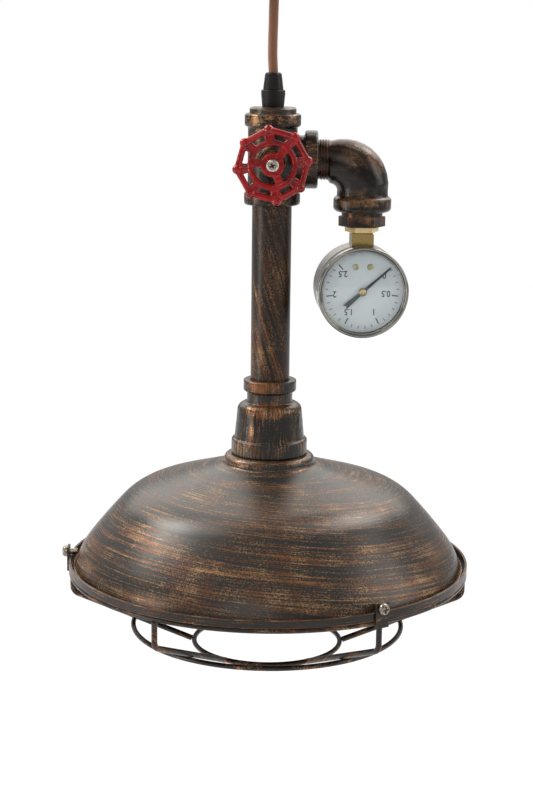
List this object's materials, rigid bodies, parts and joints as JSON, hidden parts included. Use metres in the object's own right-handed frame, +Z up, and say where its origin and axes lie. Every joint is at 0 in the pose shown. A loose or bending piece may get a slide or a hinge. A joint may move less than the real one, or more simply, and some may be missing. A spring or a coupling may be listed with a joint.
{
  "type": "pipe pendant lamp",
  "caption": "Industrial pendant lamp of pipe fittings: a tee with a red handwheel and a gauge arm over a dome shade with a wire guard, hung on a fabric cord.",
  "frame": {"origin": "centre of the canopy's and bracket's ceiling face", "axes": "+Z up to the ceiling along the pipe's axis, -Y to the front where the handwheel and dial face, +X to the side of the gauge arm"},
  "size_m": [0.285, 0.28, 0.4922],
  "materials": {
    "bronze_fitting": "antique bronze paint over cast fittings, rubbed at the edges",
    "bronze_shade": "antique bronze paint with brushed copper streaks",
    "bronze_guard": "antique bronze paint on steel wire",
    "zinc_steel": "zinc plated",
    "cord_fabric": "woven brown sleeve",
    "black_plastic": "matte black",
    "brass": "plain turned brass",
    "red_enamel": "glossy red enamel on a cast wheel",
    "gauge_steel": "polished steel",
    "lens_glass": "clear",
    "dial_white": "printed white dial",
    "pointer_black": "black paint",
    "holder_black": "moulded phenolic",
    "terminal_plastic": "moulded"
  },
  "bodies": {
    "ceiling": {"ceiling_bracket": "zinc_steel", "terminal_block": "terminal_plastic", "ceiling_canopy": "bronze_shade", "canopy_screw_left": "zinc_steel", "canopy_screw_right": "zinc_steel", "ceiling_grip": "black_plastic", "ceiling_grip_nut": "zinc_steel", "canopy_lead": "cord_fabric"},
    "lamp": {"cord": "cord_fabric", "cord_grip_cap": "black_plastic", "cord_grip_body": "black_plastic", "threaded_nipple": "zinc_steel", "nipple_nut": "zinc_steel", "top_plug": "bronze_fitting", "supply_flex": "cord_fabric", "tee": "bronze_fitting", "valve_gland": "bronze_fitting", "elbow": "bronze_fitting", "reducing_bushing": "bronze_fitting", "gauge_connector": "brass", "gauge_case": "gauge_steel", "gauge_bezel": "gauge_steel", "gauge_lens": "lens_glass", "gauge_dial": "dial_white", "dial_screw_left": "brass", "dial_screw_right": "brass", "gauge_movement": "brass", "pipe": "bronze_fitting", "bell_coupling": "bronze_fitting", "shade": "bronze_shade", "shade_bush": "bronze_fitting", "lampholder_body": "holder_black", "screw_shell": "brass", "centre_contact": "brass", "guard_band": "bronze_guard", "guard_rim_wire": "bronze_guard", "guard_strut_1": "bronze_guard", "guard_strut_2": "bronze_guard", "guard_strut_3": "bronze_guard", "guard_strut_4": "bronze_guard", "guard_strut_5": "bronze_guard", "guard_strut_6": "bronze_guard", "guard_middle_ring": "bronze_guard", "guard_inner_ring": "bronze_guard", "guard_tab_1": "bronze_guard", "guard_tab_2": "bronze_guard", "guard_tab_3": "bronze_guard", "clamp_screw_1": "zinc_steel", "clamp_screw_2": "zinc_steel", "clamp_screw_3": "zinc_steel"},
    "wheel": {"valve_stem": "brass", "handwheel": "red_enamel", "wheel_screw": "zinc_steel"},
    "pointer": {"gauge_pointer": "pointer_black"}
  },
  "joints": [
    {"name": "sway", "type": "hinge", "parent": "ceiling", "child": "lamp", "pos_m": [0, 0, -0.036], "axis": [0, 1, 0], "range_deg": [-15, 15]},
    {"name": "wheel_turn", "type": "hinge", "parent": "lamp", "child": "wheel", "pos_m": [0, 0, -0.1491], "axis": [0, 1, 0], "continuous": true},
    {"name": "pointer_turn", "type": "hinge", "parent": "lamp", "child": "pointer", "pos_m": [0.0613, 0, -0.2374], "axis": [-0.0785, 0.9969, 0], "range_deg": [-5, 265]}
  ]
}
